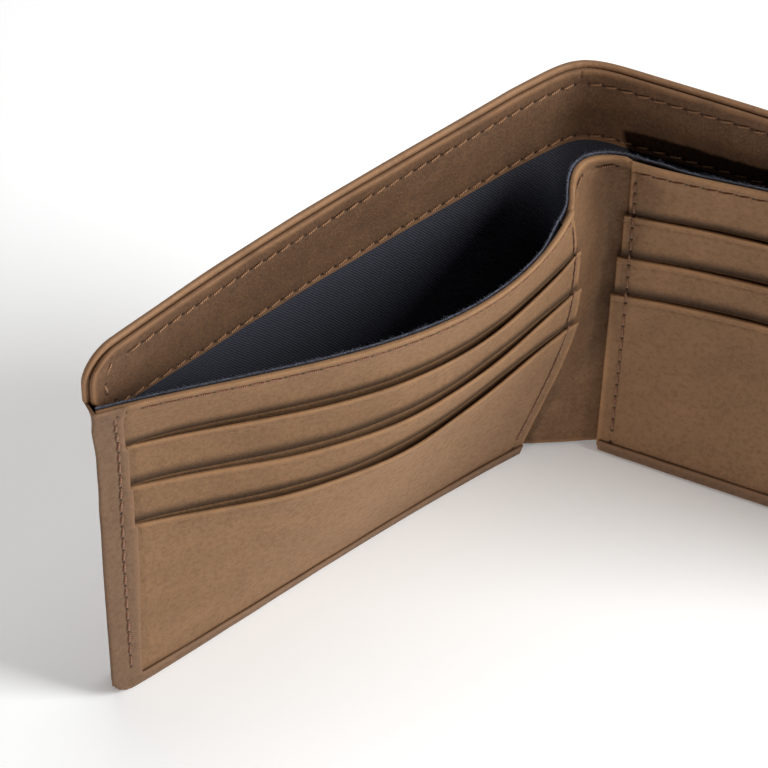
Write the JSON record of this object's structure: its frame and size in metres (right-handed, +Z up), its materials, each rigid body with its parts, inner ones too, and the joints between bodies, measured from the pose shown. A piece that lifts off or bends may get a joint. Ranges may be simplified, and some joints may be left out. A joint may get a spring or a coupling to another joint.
{
  "type": "bifold wallet",
  "caption": "Leather bifold wallet standing half open, with a twill-lined cash compartment, a gusset at the spine and stepped card pockets on both wings.",
  "frame": {"origin": "foot of the spine, at the middle of the cover's thickness, on the surface that the wallet stands on", "axes": "+X across the wallet towards the right wing, +Y towards the back of the spine, +Z up; the inside opens towards -Y"},
  "size_m": [0.2, 0.0717, 0.095],
  "materials": {
    "cover_leather": "nubuck, matt, slightly burnished at the edges",
    "pocket_leather": "nubuck, matt",
    "band_leather": "nubuck, matt",
    "facing_leather": "nubuck, matt",
    "stiffener_board": "bonded leather board, rough",
    "lining_twill": "dark navy cotton twill, matt",
    "pocket_cloth": "thin woven pocket cloth, matt",
    "thread_tan": "waxed thread, satin",
    "thread_brown": "waxed thread, satin"
  },
  "bodies": {
    "spine": {"centre_gusset": "pocket_leather", "gusset_lining": "lining_twill", "gusset_stitches": "thread_brown", "spine_cover": "cover_leather", "spine_facing": "facing_leather", "spine_lining": "lining_twill", "spine_stitches": "thread_tan"},
    "left_wing": {"left_back_lining": "lining_twill", "left_bottom_band": "band_leather", "left_card_base": "pocket_leather", "left_cover": "cover_leather", "left_cover_stitches": "thread_tan", "left_facing": "facing_leather", "left_facing_stitches": "thread_tan", "left_fold_stitches": "thread_brown", "left_front_lining": "lining_twill", "left_panel_stitches": "thread_brown", "left_pocket_cloths": "pocket_cloth", "left_pocket_lower": "pocket_leather", "left_pocket_middle": "pocket_leather", "left_pocket_upper": "pocket_leather", "left_side_band": "band_leather", "left_side_stitches": "thread_brown", "left_stiffener": "stiffener_board"},
    "right_wing": {"right_back_lining": "lining_twill", "right_bottom_band": "band_leather", "right_card_base": "pocket_leather", "right_cover": "cover_leather", "right_cover_stitches": "thread_tan", "right_facing": "facing_leather", "right_facing_stitches": "thread_tan", "right_fold_stitches": "thread_brown", "right_front_lining": "lining_twill", "right_panel_stitches": "thread_brown", "right_pocket_cloths": "pocket_cloth", "right_pocket_lower": "pocket_leather", "right_pocket_middle": "pocket_leather", "right_pocket_upper": "pocket_leather", "right_side_band": "band_leather", "right_side_stitches": "thread_brown", "right_stiffener": "stiffener_board"}
  },
  "joints": [
    {"name": "left_fold", "type": "hinge", "parent": "spine", "child": "left_wing", "pos_m": [-0.0112, -0.0016, 0.0475], "axis": [0, 0, 1], "range_deg": [-31, 58], "deforming": ["left_front_lining", "left_card_base", "left_pocket_upper", "left_pocket_middle", "left_pocket_lower", "left_pocket_cloths", "left_panel_stitches", "left_fold_stitches", "centre_gusset", "gusset_lining", "gusset_stitches"]},
    {"name": "right_fold", "type": "hinge", "parent": "spine", "child": "right_wing", "pos_m": [0.0097, -0.0011, 0.0475], "axis": [0, 0, -1], "range_deg": [-29.5, 59.5], "deforming": ["right_front_lining", "right_card_base", "right_pocket_upper", "right_pocket_middle", "right_pocket_lower", "right_pocket_cloths", "right_panel_stitches", "right_fold_stitches"]}
  ]
}
